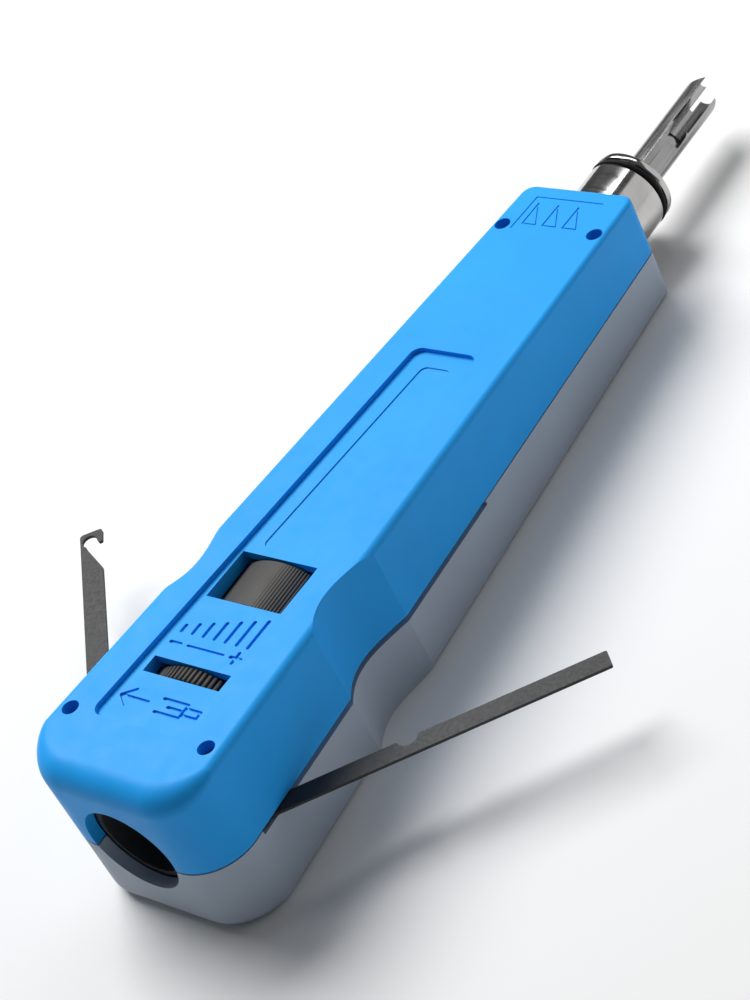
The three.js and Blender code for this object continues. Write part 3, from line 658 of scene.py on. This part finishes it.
def impact_dial():
    """The dial: its raised sector is smooth on one side and finely ribbed on the other."""
    ribs = DIAL_RIBS

    def crown(angle):
        turn = signed(angle)
        radius = DRUM["radius"] + (DRUM["raised"] - DRUM["radius"]) * raised_share(DRUM, angle)
        if not ribs["from"] < turn < ribs["to"]:
            return radius
        share = min(1.0, max(ribs["faintest"], (ribs["fade_start"] - turn) / ribs["fade_over"]))
        from_groove = abs((turn % ribs["pitch"]) / ribs["pitch"] - 0.5)
        return radius - ribs["depth"] * share * max(0.0, 1 - from_groove * ribs["slope"])

    hub, x0, x1, edge = DRUM["hub"], DRUM["x0"], DRUM["x1"], DRUM_EDGE
    drum = turned([
        (TUBE_CLEAR, DRUM["hub_x0"]), (hub, DRUM["hub_x0"]), (hub, x0),
        (lambda angle: crown(angle) - edge, x0), (crown, x0 + edge), (crown, x1 - edge),
        (lambda angle: crown(angle) - edge, x1), (hub, x1), (hub, DRUM["hub_x1"]),
        (TUBE_CLEAR, DRUM["hub_x1"]),
    ], 1152)
    join(drum, *[cam_ramp(start) for start in CAM_STARTS])
    finish_piece(drum, "impact_dial_drum", "impact_drum", "impact_dial", DIAL, 0)


def store_wheel():
    """The release wheel, with square-topped ribs on its raised sector."""
    depth, edge = WHEEL_RIB["depth"], WHEEL_EDGE

    def crown(angle):
        share = raised_share(WHEEL, angle)
        radius = WHEEL["radius"] + (WHEEL["raised"] - WHEEL["radius"]) * share
        phase = (angle * WHEEL["teeth"] / 360) % 1
        rise = min(1.0, max(0.0, (abs(phase - 0.5) - WHEEL_RIB["gap"]) * WHEEL_RIB["slope"]))
        return radius - depth * (1 - rise) * share

    x0, x1 = WHEEL["x0"], WHEEL["x1"]
    wheel = turned([
        (TUBE_CLEAR, x0), (lambda angle: crown(angle) - edge, x0), (crown, x0 + edge),
        (crown, x1 - edge), (lambda angle: crown(angle) - edge, x1), (TUBE_CLEAR, x1),
    ], 1160)
    finish_piece(wheel, "store_wheel_disc", "release_wheel", "store_wheel", DIAL, 0)


def blade_store_tube():
    flange, mouth, outer, bore = (TUBE[key] for key in ("flange", "mouth", "outer", "bore"))
    x0, cup_end, bore_end, x1 = (TUBE[key] for key in ("x0", "cup_end", "bore_end", "x1"))
    tube = turned([
        (mouth, x0), (flange, x0), (flange, cup_end), (outer, cup_end + 2), (outer, x1), (0.0, x1),
        (0.0, bore_end), (bore, bore_end), (bore, cup_end + 1.6), (mouth, cup_end - 0.8),
    ], 128)
    finish_piece(tube, "blade_store_tube", "storage_tube", "handle", BLACK, 0.18)


# ------------------------------------------------------------------ blade end
def chrome_holder():
    tail, tail_x0, neck, body_x0 = (HOLDER[key] for key in ("tail", "tail_x0", "neck", "body_x0"))
    outer, shoulder, front, x1 = (HOLDER[key] for key in ("outer", "shoulder", "front", "x1"))
    bore, bore_x0 = HOLDER["bore"], HOLDER["bore_x0"]
    holder = turned([
        (0, tail_x0), (tail, tail_x0), (tail, 118), (neck, 119), (neck, body_x0), (outer, body_x0),
        (outer, shoulder), (front, shoulder), (front, x1), (bore, x1), (bore, bore_x0), (0, bore_x0),
    ], 160)
    finish_piece(holder, "chrome_holder", "blade_holder", "plunger", CHROME, 0.3, segments=3)


def oring():
    mean, wire, centre, steps = ORING["mean"], ORING["wire"], ORING["x"], 24
    turns = [math.tau * i / steps for i in range(steps)]
    ring = turned([(mean + wire * math.cos(turn), centre + wire * math.sin(turn)) for turn in turns], 128)
    finish_piece(ring, "rubber_oring", "holder_oring", "plunger", RUBBER, 0)


def nose_ring():
    inner, outer, x0, x1 = NOSE_RING["inner"], HOLDER["outer"], NOSE_RING["x0"], NOSE_RING["x1"]
    ring = turned([(inner, x0), (outer, x0), (outer, x1), (inner, x1)], 128)
    finish_piece(ring, "nose_ring", "retaining_ring", "plunger", CHROME, 0.25, segments=3)


def punch_blade():
    """The blade: a round shank, a pocket with a stub in it, and a forked half-pipe that seats the
    wire. It is drawn with the pocket facing up and then turned to face up and to the right."""
    x0, x1, radius, z = BLADE["x0"], BLADE["x1"], BLADE["radius"], AXIS_Z
    chamfer, groove = 0.4, 0.45
    bar = turned([
        (0, x0), (radius - chamfer, x0), (radius, x0 + chamfer), (radius, 147.7), (radius - groove, 148.2),
        (radius - groove, 149.8), (radius, 150.3), (radius, x1), (0, x1),
    ], 128)
    pocket = [(160.4, -2.3), (171.3, -2.3)] + arc(172.6, -0.35, 1.95, -75, 30, 12)
    pocket += [(176.3, 1.0), (180.0, 1.35), (160.4, 1.35)]
    pipe_x0, bore = 174, 1.85
    pipe = turned([(0, pipe_x0), (bore, pipe_x0), (bore, x1 + 1), (0, x1 + 1)], 64)
    mouth = block(pipe_x0, x1 + 1, -bore, bore, z, z + 5)
    for tool in (pipe, mouth):
        tool.data.transform(Matrix.Translation((0, -0.3, 0.9)))
    prong_end = arc(182.6, -1.65, 2.0, 0, -78, 10)
    short_prong = [(184.6, -0.4)] + prong_end + [(182.0, -5), (x1 + 1, -5), (x1 + 1, -0.4)]
    cut(bar, prism(pocket, z - 1.3, z + FAR), pipe, mouth)
    cut(bar, block(181.5, x1 + 1, -0.4, 0.3, -FAR, FAR), prism(short_prong),
        prism([(x1, 0.3), (x1 + 4, 0.3), (x1 + 4, 5), (183.2, 5)]))
    join(bar, block(160.2, 170.4, -2.6, 0.05, z - 1.6, z + 1.9))
    centre = Matrix.Translation((0, 0, z))
    bar.data.transform(centre @ Matrix.Rotation(math.radians(45), 4, "X") @ centre.inverted())
    finish_piece(bar, "punch_blade_fork", "punch_blade", "blade", BLADE_STEEL, 0.09)


# ------------------------------------------------------------------ screws and inner pieces
def cover_screws():
    names = ("rear_left", "rear_right", "front_left", "front_right")
    for name, (x, y) in zip(names, SCREW_PLACES):
        seat = bottom_at(x) + COUNTERBORE_DEPTH
        shank, cross, cross_floor = SCREW["shank"], SCREW["cross"], seat - SCREW["cross_floor"]
        head = post(x, y, SCREW["head"], seat - SCREW["outer_face"], seat - SCREW["inner_face"])
        screw = join(head, post(x, y, shank, seat - 0.5, top_at(x) - SCREW["end"]))
        cut(screw, block(x - cross, x + cross, y - shank, y + shank, seat - 3, cross_floor),
            block(x - shank, x + shank, y - cross, y + cross, seat - 3, cross_floor))
        finish_piece(screw, f"screw_{name}", f"cover_screw_{name}", "handle",
                     BLACK_OXIDE, 0.12)


KEPT_NODES = {
    "hook_pivot_sleeve": TURNED_STEEL, "spudger_pivot_sleeve": TURNED_STEEL,
    "release_wheel_spring": SPRING_STEEL, "spring_seat": TURNED_STEEL, "main_spring": SPRING_STEEL,
    "hammer": TURNED_STEEL, "hammer_latch": DARK_STEEL, "latch_spring": SPRING_STEEL,
    "return_spring": SPRING_STEEL, "front_bushing": BRONZE, "blade_detent_ball": TURNED_STEEL,
    "blade_detent_spring": SPRING_STEEL,
}


def paint_kept_nodes():
    """Inner pieces keep their CAD shape and get the same metals."""
    for node, material in KEPT_NODES.items():
        obj = frame["nodes"][node]
        if obj.material_slots:
            for place in obj.material_slots:
                place.material = material
        else:
            obj.data.materials.append(material)


# ------------------------------------------------------------------ floor, light and camera
# Each softbox: name, place, what it faces, size in metres, power in watts.
SOFTBOXES = (
    ("key", (0.3, 0.7, 1.0), (0, 0, 0), (0.75, 0.75), 18.5),
    ("fill", (0.75, -0.6, 0.36), (0, 0, 0), (0.8, 0.8), 1.5),
    ("strip", (0.37, 0.07, 0.45), (0.08, 0, 0.01), (0.3, 0.05), 0.35),
)


def studio():
    bm = bmesh.new()
    bmesh.ops.create_grid(bm, x_segments=2, y_segments=2, size=4.0)
    floor = mesh_object("floor", bm)
    material, shader = principled("floor_paper", (0.93, 0.93, 0.935), 0.85)
    tree = material.node_tree
    paper = ramp(material, noise(material, 3.0), grey(0.925), grey(0.94))
    tree.links.new(paper, shader.inputs["Base Color"])
    floor.data.materials.append(material)

    world = bpy.data.worlds.new("studio")
    bpy.context.scene.world = world
    world.use_nodes = True
    background = world.node_tree.nodes["Background"]
    background.inputs["Color"].default_value = (0.95, 0.97, 1.0, 1.0)
    background.inputs["Strength"].default_value = 0.095

    for name, place, aim, size, power in SOFTBOXES:
        light = bpy.data.lights.new(name, "AREA")
        light.shape = "RECTANGLE"
        light.size, light.size_y = size
        light.energy = power
        obj = bpy.data.objects.new(name, light)
        obj.location = place
        obj.rotation_euler = (Vector(aim) - Vector(place)).to_track_quat("-Z", "Y").to_euler()
        bpy.context.scene.collection.objects.link(obj)


VIEW_AZIMUTH = 35.41     # degrees from +Y towards +X
VIEW_DIP = 39.39
VIEW_ROLL = 30.0
VIEW_DISTANCE = 0.4615
VIEW_AIM = Vector((0.00324, 0.00311, 0.015))
SENSOR = 36.0
FOCAL_RATIO = 2.734      # focal length over the picture's long side


def camera():
    azimuth, dip, roll = (math.radians(a) for a in (VIEW_AZIMUTH, VIEW_DIP, VIEW_ROLL))
    ahead = Vector((math.sin(azimuth) * math.cos(dip), math.cos(azimuth) * math.cos(dip), -math.sin(dip)))
    level = ahead.cross(Vector((0, 0, 1))).normalized()
    upright = level.cross(ahead)
    up = upright * math.cos(roll) + level * math.sin(roll)
    right = ahead.cross(up)
    data = bpy.data.cameras.new("camera")
    data.sensor_width = SENSOR
    data.lens = FOCAL_RATIO * SENSOR
    data.clip_start = 0.01
    obj = bpy.data.objects.new("camera", data)
    turn = Matrix((right, up, -ahead)).transposed()
    obj.matrix_world = Matrix.Translation(VIEW_AIM - ahead * VIEW_DISTANCE) @ turn.to_4x4()
    bpy.context.scene.collection.objects.link(obj)
    bpy.context.scene.camera = obj


camera()
studio()
blue_cover()
grey_cover()
wire_hook()
spudger()
impact_dial()
store_wheel()
blade_store_tube()
chrome_holder()
oring()
nose_ring()
punch_blade()
cover_screws()
paint_kept_nodes()
bpy.context.scene.view_settings.view_transform = "Standard"
